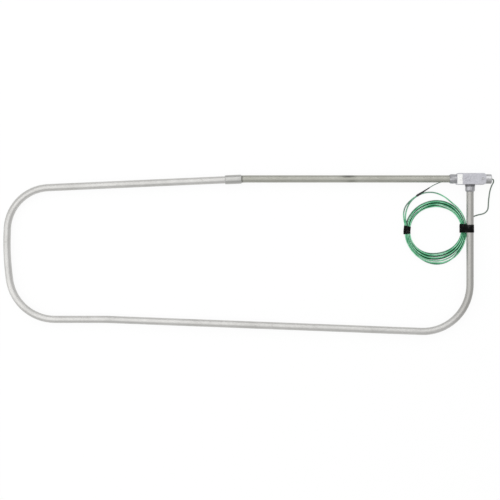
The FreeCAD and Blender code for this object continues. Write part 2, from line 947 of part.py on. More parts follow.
def pipe_tape():
    """Tape round the bundle and the upright tube together."""
    low = pipe_tape_y - tape_width / 2
    far = low + tape_width - coil_centre[1]
    far_angle = math.degrees(math.asin(far / (coil_radius - coil_turns / 4 * coil_pitch)))
    circles = [(p.x, p.z, cable_od / 2) for p in strands_at(0) + strands_at(far_angle)]
    circles.append((0.0, axis_height, tube_radius))
    tape = band_section(circles).extrude(at(0, tape_width, 0))
    tape.translate(at(0, low, 0))
    return tape


def rigid_middle():
    """Middle of the rigid pieces' plan: loop, gland and tee set its four edges."""
    loop = whole_loop(0, 0, 0).BoundBox
    west = loop.XMin - tube_radius
    east = tee_right + gland_flange + nut_seat + gland_nut_length
    south = loop.YMin - tube_radius
    return at((west + east) / 2, (south + tee_half) / 2)


nodes = {
    "loop_tube": loop_tube,
    "top_tube": top_tube,
    "coupling_sleeve": coupling_sleeve,
    "coupling_set_screws": coupling_set_screws,
    "tee_body": tee_body,
    "tee_gasket": tee_gasket,
    "tee_cover": tee_cover,
    "cover_screws": cover_screws,
    "ground_screw": ground_screw,
    "left_connector": left_connector,
    "left_ring": lambda: split_ring(tee_face(left), left, left_nut_start()),
    "left_nut": lambda: compression_nut(tee_face(left), left, left_nut_start()),
    "insulating_bushing": insulating_bushing,
    "bottom_connector": bottom_connector,
    "bottom_ring": lambda: split_ring(tee_face(down), down, bottom_nut_start()),
    "bottom_nut": lambda: compression_nut(tee_face(down), down, bottom_nut_start()),
    "gland_body": gland_body,
    "gland_seal": gland_seal,
    "gland_washer": gland_washer,
    "gland_nut": gland_nut,
    "loop_winding": loop_winding,
    "splice_caps": splice_caps,
    "inner_leads": inner_leads,
    "cable_lead": cable_lead,
    "cable_coil": cable_coil,
    "cable_tail": cable_tail,
    "heat_shrink": heat_shrink,
    "tail_lead": tail_lead,
    "coil_tape": coil_tape,
    "pipe_tape": pipe_tape,
}

middle = rigid_middle()
print("tee centre in the part's frame", [round(value, 3) for value in (-middle.x, -middle.y)])
for name, make in nodes.items():
    shape = make()
    shape.translate(-middle)
    shape.exportStep("parts/" + name + ".step")
    print(name, "solids", len(shape.Solids), "valid", shape.isValid(),
          "volume", round(shape.Volume, 1))
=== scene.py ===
import bpy
import math
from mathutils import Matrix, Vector


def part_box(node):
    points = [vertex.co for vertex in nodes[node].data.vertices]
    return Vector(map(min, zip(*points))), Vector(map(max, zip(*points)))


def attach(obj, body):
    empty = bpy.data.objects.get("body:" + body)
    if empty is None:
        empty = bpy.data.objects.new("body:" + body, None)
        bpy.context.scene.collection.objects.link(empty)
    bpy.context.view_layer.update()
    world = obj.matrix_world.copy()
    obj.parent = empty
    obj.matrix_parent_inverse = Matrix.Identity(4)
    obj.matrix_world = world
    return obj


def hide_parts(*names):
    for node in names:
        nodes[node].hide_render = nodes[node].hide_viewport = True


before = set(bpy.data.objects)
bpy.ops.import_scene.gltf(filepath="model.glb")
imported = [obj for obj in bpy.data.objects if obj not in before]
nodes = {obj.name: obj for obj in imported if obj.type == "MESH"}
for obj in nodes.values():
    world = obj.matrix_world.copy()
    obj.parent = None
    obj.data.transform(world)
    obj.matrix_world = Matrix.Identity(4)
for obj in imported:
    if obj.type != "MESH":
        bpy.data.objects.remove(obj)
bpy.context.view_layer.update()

print("frame loaded:", len(nodes), "nodes")

# the tee's centre: the bottom connector gives its x, the left connector its y and height
teeX = sum(corner.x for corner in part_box("bottom_connector")) / 2
teeY = sum(corner.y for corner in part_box("left_connector")) / 2
axisZ = sum(corner.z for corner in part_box("left_connector")) / 2
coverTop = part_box("tee_cover")[1].z


def fromTee(x, y, z=0.0):
    return Vector((teeX + x, teeY + y, z))


# camera: straight above the loop, as in the photograph

cameraFacts = {
    "photoPixels": 500,
    "metresPerPixel": 0.0025,
    "teeInPhoto": (470.05, 178.93),
    "distance": 3.0,
    "sensor": 36.0,
}


def makeCamera(facts):
    half = facts["photoPixels"] / 2
    across = (half - facts["teeInPhoto"][0]) * facts["metresPerPixel"]
    upward = (facts["teeInPhoto"][1] - half) * facts["metresPerPixel"]
    width = facts["photoPixels"] * facts["metresPerPixel"]
    spot = fromTee(across, upward, axisZ + facts["distance"])
    bpy.ops.object.camera_add(location=spot, rotation=(0, 0, 0))
    camera = bpy.context.object
    camera.data.sensor_width = facts["sensor"]
    camera.data.lens = facts["sensor"] * facts["distance"] / width
    bpy.context.scene.camera = camera


makeCamera(cameraFacts)
print("camera placed")


# small helpers for modelling by hand

mergeDistance = 1e-6


def deselectAll():
    if bpy.context.mode != "OBJECT":
        bpy.ops.object.mode_set(mode="OBJECT")
    bpy.ops.object.select_all(action="DESELECT")


def pickObject(piece):
    deselectAll()
    piece.select_set(True)
    bpy.context.view_layer.objects.active = piece


def editFaces(piece, wanted):
    # opens the piece in edit mode with only the wanted faces selected
    pickObject(piece)
    bpy.context.tool_settings.mesh_select_mode = (False, False, True)
    for part in (piece.data.vertices, piece.data.edges):
        part.foreach_set("select", [False] * len(part))
    for face in piece.data.polygons:
        face.select = wanted(face)
    bpy.ops.object.mode_set(mode="EDIT")


def editVertices(piece, wanted):
    # the same with only the wanted vertices
    pickObject(piece)
    bpy.context.tool_settings.mesh_select_mode = (True, False, False)
    for part in (piece.data.polygons, piece.data.edges):
        part.foreach_set("select", [False] * len(part))
    for vertex in piece.data.vertices:
        vertex.select = wanted(vertex)
    bpy.ops.object.mode_set(mode="EDIT")


def endEdit():
    bpy.ops.object.mode_set(mode="OBJECT")


def applyModifier(piece, kind, settings):
    pickObject(piece)
    modifier = piece.modifiers.new(kind.lower(), kind)
    for name, value in settings.items():
        setattr(modifier, name, value)
    bpy.ops.object.modifier_apply(modifier=modifier.name)


def settle(piece, location=(0, 0, 0), turn=(0, 0, 0)):
    # puts the piece in its place and leaves that place in its mesh
    pickObject(piece)
    piece.location = location
    piece.rotation_euler = turn
    bpy.ops.object.transform_apply(location=True, rotation=True, scale=True)


def faceOutwards(piece):
    editFaces(piece, lambda face: True)
    bpy.ops.mesh.remove_doubles(threshold=mergeDistance)
    bpy.ops.mesh.normals_make_consistent(inside=False)
    endEdit()


def shadeSmooth(piece, degrees=35):
    pickObject(piece)
    bpy.ops.object.shade_smooth_by_angle(angle=math.radians(degrees))


def copyNode(name, node):
    # a piece of its own from a node's mesh, with its loose triangles merged
    piece = bpy.data.objects.new(name, nodes[node].data.copy())
    bpy.context.scene.collection.objects.link(piece)
    piece.data.materials.clear()
    editFaces(piece, lambda face: True)
    bpy.ops.mesh.remove_doubles(threshold=mergeDistance)
    endEdit()
    return piece


# green lead-in cable: out of the gland, behind the upright tube, round the coil, up to the sleeve

cable = {
    "diameter": 0.0034,
    "length": 3.57,
    "exit": (0.0499, 0.0, 0.0145),
    "joinRun": 0.0105,
    "leadRoute": [
        (0.0584, 0.0, 0.0145), (0.0600, -0.0075, 0.0104), (0.0556, -0.0162, 0.0062),
        (0.0524, -0.0270, 0.0032), (0.0506, -0.0388, 0.0018), (0.0490, -0.0510, 0.0018),
        (0.0482, -0.0632, 0.0018), (0.0476, -0.0748, 0.0018), (0.0428, -0.0825, 0.0018),
        (0.0350, -0.0872, 0.0018), (0.0226, -0.0894, 0.0018), (0.0108, -0.0934, 0.0018),
        (0.0004, -0.1012, 0.0020), (-0.0067, -0.1112, 0.0027),
    ],
    "tailRoute": [
        (-0.1626, -0.1090, 0.0061), (-0.1648, -0.0954, 0.0042), (-0.1645, -0.0816, 0.0025),
        (-0.1604, -0.0688, 0.0018), (-0.1520, -0.0578, 0.0022),
    ],
}
# the turns go inwards just above the floor, then outwards again on top of the first ones
coil = {
    "centre": (-0.0854, -0.1316),
    "radius": 0.0703,
    "turns": 7.5,
    "pitch": 0.0036,
    # the outline: flatter above and below, moved up, and longer along one diagonal
    "squeeze": 0.0028,
    "lean": (0.0034, 0.0012),
    # the pitch: wider above and below, and more so on the right
    "spread": 0.3,
    "fan": 1.0,
    # how far the upper turns move back over the lower ones at the upper right, in pitches
    "tuck": 0.7,
    # the lower turns' height, the upper ones' above it, and the turns that the climb takes
    "lowHeight": 0.00265,
    "rise": 0.0036,
    "climbTurns": 0.5,
    # each strand that leaves the bundle: middle turn, half width in turns, how far out
    "looseTurns": (
        (0.2306, 0.145, 0.0070), (6.675, 0.158, 0.0245), (7.15, 0.13, 0.0012),
        (4.90, 0.12, -0.0006), (5.93, 0.10, -0.0013), (5.62, 0.15, 0.0026), (5.33, 0.15, 0.0014),
        (4.62, 0.14, 0.0010), (3.75, 0.24, 0.0030), (6.24, 0.18, 0.0026), (1.26, 0.20, 0.0010)),
    "loosePower": 1.3,
    # how far out an upper strand begins to sink, and where it lies as low as the lower ones
    "droops": (0.0060, 0.0160),
    # small waves sideways and up: how many in a turn, and how high
    "wander": ((2.37, 0.0004), (5.21, 0.0002)),
    "bob": ((1.71, 0.0005), (4.43, 0.0003)),
    "pointsPerTurn": 24,
    "headingStep": 0.002,
}
sleeve = {
    "start": (-0.1325, -0.0425, 0.00315),
    "angle": 33.0,
    "rings": (
        (0.0, 0.0025), (0.002, 0.0030), (0.010, 0.0029), (0.018, 0.0019), (0.038, 0.0015),
        (0.040, 0.0012),
    ),
    "sides": 24,
    "edge": 0.0003,
    "edgeSteps": 2,
    "smoothBelow": 50,
}
thinLead = {
    "diameter": 0.0020,
    "length": 0.0439,
    "joinRun": 0.0075,
    "route": [
        (-0.0842, -0.0126, 0.0019), (-0.0756, -0.0088, 0.0013), (-0.0668, -0.0066, 0.0013),
        (-0.0588, -0.0038, 0.0013),
    ],
}
cordSpline = {"order": 3, "stepsPerPoint": 5, "roundSteps": 4}


def waves(rows, turn):
    return sum(size * math.sin(2 * math.pi * pace * turn) for pace, size in rows)


def coilPlace(turn, reach=1.0):
    # the cable's centre after so many turns, clockwise from the coil's right-hand side;
    # reach puts a control point outside the line that the spline is to follow
    angle = -2 * math.pi * turn
    reversal = coil["turns"] / 2
    inward = reversal - abs(turn - reversal)
    across = math.sin(angle) ** 2
    up, slant = coil["lean"]
    radius = coil["radius"] - coil["squeeze"] * across
    radius = radius + up * math.sin(angle) + slant * math.sin(2 * angle)
    rightward = across * (1 + math.cos(angle)) / 2
    pitch = coil["pitch"] * (1 + coil["spread"] * across + coil["fan"] * rightward)
    radius += (reversal / 2 - inward) * pitch
    out = 0.0
    for middle, halfWidth, reachOut in coil["looseTurns"]:
        share = abs(turn - middle) / halfWidth
        if share < 1:
            out += reachOut * math.cos(share * math.pi / 2) ** coil["loosePower"]
    climbed = min(max((turn - reversal) / coil["climbTurns"] + 0.5, 0.0), 1.0)
    climb = (1 - math.cos(math.pi * climbed)) / 2
    # an upper turn lies beside the one under it: further out on the right, further in on the left
    besides = (math.cos(angle) + abs(math.sin(angle))) / 2
    besides -= coil["tuck"] * max(math.sin(angle), 0.0) * max(math.cos(angle), 0.0)
    radius += out + climb * besides * pitch
    radius += across * waves(coil["wander"], turn)
    clear, lying = coil["droops"]
    droop = min(max((out - clear) / (lying - clear), 0.0), 1.0)
    height = coil["lowHeight"] + coil["rise"] * climb * (1 - droop * droop * (3 - 2 * droop))
    height += climb * across * waves(coil["bob"], turn)
    x = coil["centre"][0] + radius * reach * math.cos(angle)
    y = coil["centre"][1] + radius * reach * math.sin(angle)
    return Vector((x, y, height))


def coilHeading(turn):
    before = coilPlace(max(turn - coil["headingStep"], 0.0))
    after = coilPlace(min(turn + coil["headingStep"], coil["turns"]))
    return (after - before).normalized()


def sleeveHeading():
    angle = math.radians(sleeve["angle"])
    return Vector((math.cos(angle), math.sin(angle), 0))


def makeCord(name, points, diameter):
    # one smooth spline through the route, as thick as the cable
    curve = bpy.data.curves.new(name, "CURVE")
    curve.dimensions = "3D"
    curve.bevel_depth = diameter / 2
    curve.bevel_resolution = cordSpline["roundSteps"]
    curve.use_fill_caps = True
    curve.resolution_u = cordSpline["stepsPerPoint"]
    spline = curve.splines.new("NURBS")
    spline.points.add(len(points) - 1)
    for spot, point in zip(spline.points, points):
        spot.co = (*fromTee(*point), 1.0)
    spline.order_u = cordSpline["order"]
    spline.use_endpoint_u = True
    cord = bpy.data.objects.new(name, curve)
    bpy.context.scene.collection.objects.link(cord)
    return cord


def makeGreenCable():
    # the spline runs inside its points, three quarters of a point and an eighth of each
    # neighbour, so the turns' points stand out a little further
    perTurn = coil["pointsPerTurn"]
    neighbours = 0.25
    reach = 1 / (1 - neighbours + neighbours * math.cos(2 * math.pi / perTurn))
    steps = round(coil["turns"] * perTurn)
    turns = [coilPlace(step / perTurn, reach) for step in range(steps + 1)]
    run = cable["joinRun"]
    sleeveStart = Vector(sleeve["start"])
    points = [cable["exit"], *cable["leadRoute"], coilPlace(0) - coilHeading(0) * run]
    points += turns
    last = coil["turns"]
    points += [coilPlace(last) + coilHeading(last) * run, *cable["tailRoute"]]
    points += [sleeveStart - sleeveHeading() * run, sleeveStart]
    return makeCord("greenCable", points, cable["diameter"])


def makeThinLead():
    start = Vector(sleeve["start"]) + sleeveHeading() * sleeve["rings"][-1][0]
    points = [start, start + sleeveHeading() * thinLead["joinRun"], *thinLead["route"]]
    return makeCord("thinLead", points, thinLead["diameter"]), start


def makeShrinkSleeve():
    # a disc pulled out ring by ring: thick over the joint, thin over the lead
    deselectAll()
    reach, radius = sleeve["rings"][0]
    bpy.ops.mesh.primitive_circle_add(
        vertices=sleeve["sides"], radius=radius, fill_type="NGON", location=(0, 0, 0))
    piece = bpy.context.object
    piece.name = "shrinkSleeve"
    editFaces(piece, lambda face: True)
    for nextReach, nextRadius in sleeve["rings"][1:]:
        bpy.ops.mesh.extrude_region_move(
            TRANSFORM_OT_translate={"value": (0, 0, nextReach - reach)})
        grow = nextRadius / radius
        bpy.ops.transform.resize(value=(grow, grow, 1), center_override=(0, 0, nextReach))
        reach, radius = nextReach, nextRadius
    endEdit()
    faceOutwards(piece)
    applyModifier(piece, "BEVEL", {
        "width": sleeve["edge"], "segments": sleeve["edgeSteps"], "limit_method": "ANGLE"})
    applyModifier(piece, "SUBSURF", {"levels": 1, "render_levels": 1})
    settle(piece, fromTee(*sleeve["start"]), (0, math.pi / 2, math.radians(sleeve["angle"])))
    shadeSmooth(piece, sleeve["smoothBelow"])
    return piece


greenCable = makeGreenCable()
lead, leadStart = makeThinLead()
shrinkSleeve = makeShrinkSleeve()
print("cords and shrink sleeve made")


# black tape wraps: each the node's own shape with further layers a little askew on it;
# the last layer at the upright tube is a loose end that covers the cable only
# (round is in degrees about the coil's centre, and narrow is the share of the width that stays)

wraps = {
    "coilWrap": {
        "node": "coil_tape", "round": 1.3, "narrow": 0.94,
        "layers": ({"grow": 0.00022, "shift": (-0.0002, 0.0007, 0.00024), "tilt": 2.0},)},
    "pipeWrap": {
        "node": "pipe_tape", "round": 0.0, "narrow": 1.0,
        "layers": (
            {"grow": 0.00022, "shift": (0.0, 0.0003, 0.00024), "tilt": -1.2},
            {"grow": 0.00040, "shift": (0.0002, 0.0022, 0.00044), "tilt": 1.6, "cutAt": -0.0098})},
}
wrapSmoothBelow = 40


def makeWrap(name, facts):
    inner = copyNode(name, facts["node"])
    low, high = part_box(facts["node"])
    middle = (low + high) / 2
    layers = []
    for number, layer in enumerate(facts["layers"]):
        piece = copyNode(name + "Layer" + str(number), facts["node"])
        layers.append(piece)
        editFaces(piece, lambda face: True)
        bpy.ops.transform.shrink_fatten(value=layer["grow"])
        bpy.ops.transform.translate(value=layer["shift"])
        bpy.ops.transform.rotate(
            value=math.radians(layer["tilt"]), orient_axis="Z", center_override=middle)
        if "cutAt" in layer:
            bpy.ops.mesh.bisect(
                plane_co=fromTee(layer["cutAt"], 0), plane_no=(1, 0, 0),
                clear_outer=True, use_fill=True)
        endEdit()
    deselectAll()
    for piece in (inner, *layers):
        piece.select_set(True)
    bpy.context.view_layer.objects.active = inner
    bpy.ops.object.join()
    editFaces(inner, lambda face: True)
    # the left edge stays while the wrap gets narrower, then it all moves round the coil
    bpy.ops.transform.resize(
        value=(facts["narrow"], 1, 1), center_override=(low.x, middle.y, middle.z))
    bpy.ops.transform.rotate(
        value=math.radians(facts["round"]), orient_axis="Z",
        center_override=fromTee(*coil["centre"]))
    endEdit()
    shadeSmooth(inner, wrapSmoothBelow)
    return inner


coilWrap = makeWrap("coilWrap", wraps["coilWrap"])
pipeWrap = makeWrap("pipeWrap", wraps["pipeWrap"])
print("tape wraps made")


# bare paper label over the cover's left screw, and the plain round pad beside it

label = {
    "x": (-0.0341, -0.0211),
    "y": (-0.0137, 0.0111),
    "cells": (26, 50),
    "thickness": 0.00012,
    "lift": 0.00012,
    "screw": (-0.0261, 0.0),
    "headRadius": 0.0031,
    "headHeight": 0.0020,
    "fallOff": 0.0036,
    "smoothBelow": 40,
}
pad = {
    "place": (-0.0086, -0.0002),
    "radius": 0.0072,
    "height": 0.0017,
    "topShare": 0.78,
    "rim": 0.0010,
    "slope": 0.0016,
    "dish": 0.0016,
    "edge": 0.0003,
    "edgeSteps": 2,
    "sides": 48,
    "facesUp": 0.9,
    "smoothBelow": 35,
}


def makeLabel():
    deselectAll()
    width = label["x"][1] - label["x"][0]
    length = label["y"][1] - label["y"][0]
    middle = fromTee(sum(label["x"]) / 2, sum(label["y"]) / 2, coverTop + label["lift"])
    bpy.ops.mesh.primitive_grid_add(
        x_subdivisions=label["cells"][0], y_subdivisions=label["cells"][1],
        size=1, location=(0, 0, 0))
    piece = bpy.context.object
    piece.name = "label"
    piece.scale = (width, length, 1)
    settle(piece, middle)
    screw = fromTee(*label["screw"])
    screw.z = middle.z
    # the paper goes up over the screw's head and comes down softly round it
    editVertices(piece, lambda vertex: (vertex.co - screw).length < label["headRadius"])
    bpy.ops.transform.translate(
        value=(0, 0, label["headHeight"]), use_proportional_edit=True,
        proportional_edit_falloff="SMOOTH", proportional_size=label["fallOff"])
    endEdit()
    applyModifier(piece, "SOLIDIFY", {"thickness": label["thickness"], "offset": 1.0})
    shadeSmooth(piece, label["smoothBelow"])
    return piece


def makePad():
    deselectAll()
    bpy.ops.mesh.primitive_cylinder_add(
        vertices=pad["sides"], radius=pad["radius"], depth=2 * pad["height"], location=(0, 0, 0))
    piece = bpy.context.object
    piece.name = "castPad"
    editFaces(piece, lambda face: face.normal.z > pad["facesUp"])
    bpy.ops.transform.resize(
        value=(pad["topShare"], pad["topShare"], 1), center_override=(0, 0, pad["height"]))
    bpy.ops.mesh.inset(thickness=pad["rim"], depth=0)
    bpy.ops.mesh.inset(thickness=pad["slope"], depth=-pad["dish"])
    endEdit()
    applyModifier(piece, "BEVEL", {
        "width": pad["edge"], "segments": pad["edgeSteps"], "limit_method": "ANGLE"})
    settle(piece, fromTee(*pad["place"], coverTop))
    shadeSmooth(piece, pad["smoothBelow"])
    return piece


paperLabel = makeLabel()
castPad = makePad()
print("label and pad made")


# shader maths: a Value is a socket that takes part in ordinary sums

class Value:
    def __init__(self, shade, socket):
        self.shade = shade
        self.socket = socket

    def combine(self, operation, first, second):
        inputs = {0: first, 1: second}
        return self.shade.node("ShaderNodeMath", {"operation": operation}, inputs)

    def __add__(self, other):
        return self.combine("ADD", self, other)

    def __radd__(self, other):
        return self.combine("ADD", other, self)

    def __sub__(self, other):
        return self.combine("SUBTRACT", self, other)

    def __rsub__(self, other):
        return self.combine("SUBTRACT", other, self)

    def __mul__(self, other):
        return self.combine("MULTIPLY", self, other)

    def __rmul__(self, other):
        return self.combine("MULTIPLY", other, self)


class Shade:
    def __init__(self, owner):
        owner.use_nodes = True
        self.tree = owner.node_tree
        self.tree.nodes.clear()

    def node(self, kind, settings=None, inputs=None, out=0):
        made = self.tree.nodes.new(kind)
        for name, value in (settings or {}).items():
            if name == "stops":
                ramp = made.color_ramp
                while len(ramp.elements) < len(value):
                    ramp.elements.new(0.5)
                for element, (place, level) in zip(ramp.elements, value):
                    element.position = place
                    element.color = (level, level, level, 1)
            else:
                setattr(made, name, value)
        for name, value in (inputs or {}).items():
            if isinstance(value, Value):
                self.tree.links.new(value.socket, made.inputs[name])
            else:
                made.inputs[name].default_value = value
        return Value(self, made.outputs[out])

    def place(self, stretch=(1, 1, 1)):
        spot = self.node("ShaderNodeTexCoord", out="Object")
        return self.node("ShaderNodeMapping", {}, {"Vector": spot, "Scale": stretch})

    def noise(self, scale, stretch=(1, 1, 1), detail=3.0, roughness=0.55):
        return self.node("ShaderNodeTexNoise", {}, {
            "Vector": self.place(stretch), "Scale": scale, "Detail": detail,
            "Roughness": roughness})

    def near(self, place, reach, blur, core=0.25):
        # 1 in the core of a place measured from the tee's centre, falling to 0 at its reach
        spot = self.node("ShaderNodeTexCoord", out="Object")
        scale = (1 / reach[0], 1 / reach[1], 0)
        start = (-(teeX + place[0]) / reach[0], -(teeY + place[1]) / reach[1], 0)
        away = self.node("ShaderNodeMapping", {}, {
            "Vector": spot, "Location": start, "Scale": scale})
        distance = self.node("ShaderNodeVectorMath", {"operation": "LENGTH"}, {0: away}, 1)
        return self.ramp(distance + blur, [(core, 1.0), (1.0, 0.0)])

    def ramp(self, value, stops):
        return self.node("ShaderNodeValToRGB", {"stops": stops}, {"Fac": value})

    def rise(self, value, ends):
        return self.ramp(value, [(ends[0], 0.0), (ends[1], 1.0)])

    def blendColours(self, factor, first, second):
        inputs = {0: factor, 6: first, 7: second}
        return self.node("ShaderNodeMix", {"data_type": "RGBA"}, inputs, 2)

    def bump(self, height, strength, distance):
        return self.node("ShaderNodeBump", {}, {
            "Height": height, "Strength": strength, "Distance": distance})

    def surface(self, inputs):
        return self.node("ShaderNodeBsdfPrincipled", {}, inputs)

    def finish(self, shader, kind="ShaderNodeOutputMaterial"):
        output = self.tree.nodes.new(kind)
        self.tree.links.new(shader.socket, output.inputs["Surface"])


def newMaterial(name):
    material = bpy.data.materials.new(name)
    return material, Shade(material)


# plated metals: soft clouds in the plating, drawn lines along the piece, small dull spots,
# and marks where the base colour is darker (place and reach from the tee's centre): painted shade
# on the loop's upright run, at the sleeve's end and on the gland, and two darker spots on the top
# tube

metals = {
    "topTubeZinc": {
        "light": (0.445, 0.445, 0.405, 1), "dark": (0.365, 0.365, 0.325, 1), "roughness": 0.50,
        "swing": 0.10, "stretch": (4, 90, 90), "lines": 16, "clouds": 24,
        "marks": (
            {"place": (-0.3050, 0.0066), "reach": (0.024, 0.0060),
             "tint": (0.10, 0.10, 0.09, 1), "depth": 0.75},
            {"place": (-0.2960, -0.0060), "reach": (0.018, 0.0050),
             "tint": (0.14, 0.14, 0.12, 1), "depth": 0.4},
            # painted shade in the gap at the coupling sleeve's right end
            {"place": (-0.5705, 0.0), "reach": (0.0040, 0.5),
             "tint": (0.10, 0.10, 0.09, 1), "depth": 0.6})},
    "loopZinc": {
        "light": (0.62, 0.615, 0.60, 1), "dark": (0.52, 0.515, 0.50, 1), "roughness": 0.48,
        "swing": 0.10, "stretch": (8, 8, 60), "lines": 20, "clouds": 18,
        # painted shade: the upright run below the tee is darker than the rest of the loop
        "marks": (
            {"place": (0.0, -0.17), "reach": (0.055, 0.9),
             "tint": (0.41, 0.405, 0.385, 1), "depth": 0.95},)},
    "sleeveZinc": {
        "light": (0.48, 0.48, 0.465, 1), "dark": (0.42, 0.42, 0.405, 1), "roughness": 0.38,
        "swing": 0.08, "stretch": (160, 6, 6), "lines": 20, "clouds": 60},
    "fittingZinc": {
        "light": (0.43, 0.43, 0.445, 1), "dark": (0.32, 0.32, 0.335, 1), "roughness": 0.32,
        "swing": 0.12, "stretch": (40, 40, 40), "lines": 40, "clouds": 90},
    "screwZinc": {
        "light": (0.55, 0.55, 0.56, 1), "dark": (0.40, 0.40, 0.41, 1), "roughness": 0.3,
        "swing": 0.15, "stretch": (1, 1, 1), "lines": 900, "clouds": 200},
    "nickelGland": {
        "light": (0.62, 0.62, 0.63, 1), "dark": (0.52, 0.52, 0.53, 1), "roughness": 0.15,
        "swing": 0.08, "stretch": (120, 6, 6), "lines": 20, "clouds": 70,
        # painted shade along the gland's lower side and a painted darker band along its upper edge
        "marks": (
            {"place": (0.045, -0.0125), "reach": (0.5, 0.0095),
             "tint": (0.22, 0.22, 0.22, 1), "depth": 0.9},
            {"place": (0.045, 0.0125), "reach": (0.5, 0.0055),
             "tint": (0.36, 0.36, 0.37, 1), "depth": 0.9})},
    "washerSteel": {
        "light": (0.58, 0.57, 0.56, 1), "dark": (0.46, 0.45, 0.44, 1), "roughness": 0.3,
        "swing": 0.1, "stretch": (1, 1, 1), "lines": 500, "clouds": 150},
}
plating = {
    "cloudDetail": 4.0, "lineDetail": 2.0, "spotDetail": 5.0, "spotsPerCloud": 6,
    "cloudTone": 0.6, "lineTone": 0.4, "spotTone": 0.16, "spotRough": 0.1, "markBlur": 0.5,
    "spotEnds": (0.60, 0.74), "toneEnds": (0.32, 0.68), "cloudRelief": 0.5,
    "relief": 0.12, "reliefDepth": 0.0002,
}


def makeMetal(name, facts):
    material, shade = newMaterial(name)
    clouds = shade.noise(facts["clouds"], detail=plating["cloudDetail"])
    lines = shade.noise(facts["lines"], facts["stretch"], plating["lineDetail"])
    small = shade.noise(facts["clouds"] * plating["spotsPerCloud"], detail=plating["spotDetail"])
    spots = shade.rise(small, plating["spotEnds"])
    tone = clouds * plating["cloudTone"] + lines * plating["lineTone"] + spots * plating["spotTone"]
    tone = shade.rise(tone, plating["toneEnds"])
    colour = shade.blendColours(tone, facts["light"], facts["dark"])
    # the marks blend painted shade, and the top tube's two darker spots, into the base colour
    for mark in facts.get("marks", ()):
        near = shade.near(mark["place"], mark["reach"], (clouds - 0.5) * plating["markBlur"])
        colour = shade.blendColours(near * mark["depth"], colour, mark["tint"])
    rough = facts["roughness"] + (clouds - 0.5) * facts["swing"] + spots * plating["spotRough"]
    relief = lines + clouds * plating["cloudRelief"]
    shade.finish(shade.surface({
        "Base Color": colour, "Metallic": 1.0, "Roughness": rough,
        "Normal": shade.bump(relief, plating["relief"], plating["reliefDepth"])}))
    return material


# enamels, plastics and rubbers: one colour with faint mottling, a grain and a gloss;
# glints are glossy patches on creased tape

plastics = {
    "teeEnamel": {
        "light": (0.525, 0.525, 0.565, 1), "dark": (0.435, 0.435, 0.47, 1),
        "roughness": 0.42, "coat": 0.15, "grain": 420, "depth": 0.0004, "mottle": 210},
    "bushingPlastic": {
        "light": (0.085, 0.085, 0.090, 1), "dark": (0.055, 0.055, 0.058, 1),
        "roughness": 0.22, "coat": 0.6, "grain": 500, "depth": 0.00003, "mottle": 60},
    "gasketRubber": {
        "light": (0.030, 0.030, 0.030, 1), "dark": (0.015, 0.015, 0.015, 1),
        "roughness": 0.75, "coat": 0.0, "grain": 1500, "depth": 0.0001, "mottle": 90},
    "tapeVinyl": {
        "light": (0.0035, 0.0035, 0.0035, 1), "dark": (0.001, 0.001, 0.001, 1),
        "roughness": 0.42, "coat": 0.0, "grain": 210, "depth": 0.0012, "mottle": 150,
        "shine": 0.05, "glints": 0.45},
    "shrinkTube": {
        "light": (0.022, 0.024, 0.024, 1), "dark": (0.010, 0.011, 0.011, 1),
        "roughness": 0.5, "coat": 0.0, "grain": 420, "depth": 0.0002, "mottle": 120},
    "paperWhite": {
        "light": (0.88, 0.88, 0.87, 1), "dark": (0.80, 0.80, 0.79, 1),
        "roughness": 0.55, "coat": 0.1, "grain": 1400, "depth": 0.00005, "mottle": 80},
    "leadGreen": {
        "light": (0.060, 0.19, 0.12, 1), "dark": (0.035, 0.13, 0.08, 1),
        "roughness": 0.3, "coat": 0.3, "grain": 200, "depth": 0.0001, "mottle": 60},
    "windingEnamel": {
        "light": (0.50, 0.11, 0.06, 1), "dark": (0.30, 0.05, 0.03, 1),
        "roughness": 0.35, "coat": 0.3, "grain": 300, "depth": 0.0003, "mottle": 100},
    "capPlastic": {
        "light": (0.80, 0.50, 0.07, 1), "dark": (0.70, 0.42, 0.05, 1),
        "roughness": 0.35, "coat": 0.2, "grain": 600, "depth": 0.0001, "mottle": 80},
    "leadWire": {
        "light": (0.10, 0.10, 0.12, 1), "dark": (0.06, 0.06, 0.07, 1),
        "roughness": 0.35, "coat": 0.2, "grain": 400, "depth": 0.0001, "mottle": 90},
}
moulding = {
    "mottleEnds": (0.35, 0.65), "glintEnds": (0.52, 0.66), "grainDetail": 2.0, "swing": 0.12,
    "shine": 0.5, "coatRoughness": 0.15, "relief": 0.35,
}


def makePlastic(name, facts):
    material, shade = newMaterial(name)
    mottle = shade.noise(facts["mottle"])
    grain = shade.noise(facts["grain"], detail=moulding["grainDetail"])
    tone = shade.rise(mottle, moulding["mottleEnds"])
    coat = facts["coat"]
    if "glints" in facts:
        coat = shade.rise(mottle, moulding["glintEnds"]) * facts["glints"]
    shade.finish(shade.surface({
        "Base Color": shade.blendColours(tone, facts["light"], facts["dark"]),
        "Roughness": facts["roughness"] + (grain - 0.5) * moulding["swing"],
        "Specular IOR Level": facts.get("shine", moulding["shine"]),
        "Coat Weight": coat, "Coat Roughness": moulding["coatRoughness"],
        "Normal": shade.bump(grain, moulding["relief"], facts["depth"])}))
    return material


# green cable jacket, with painted light and shade: greyer on the lead right of the tee and where it
# lies low on the floor, brighter high in the bundle, and dark between the strands where the
# neighbours shade it

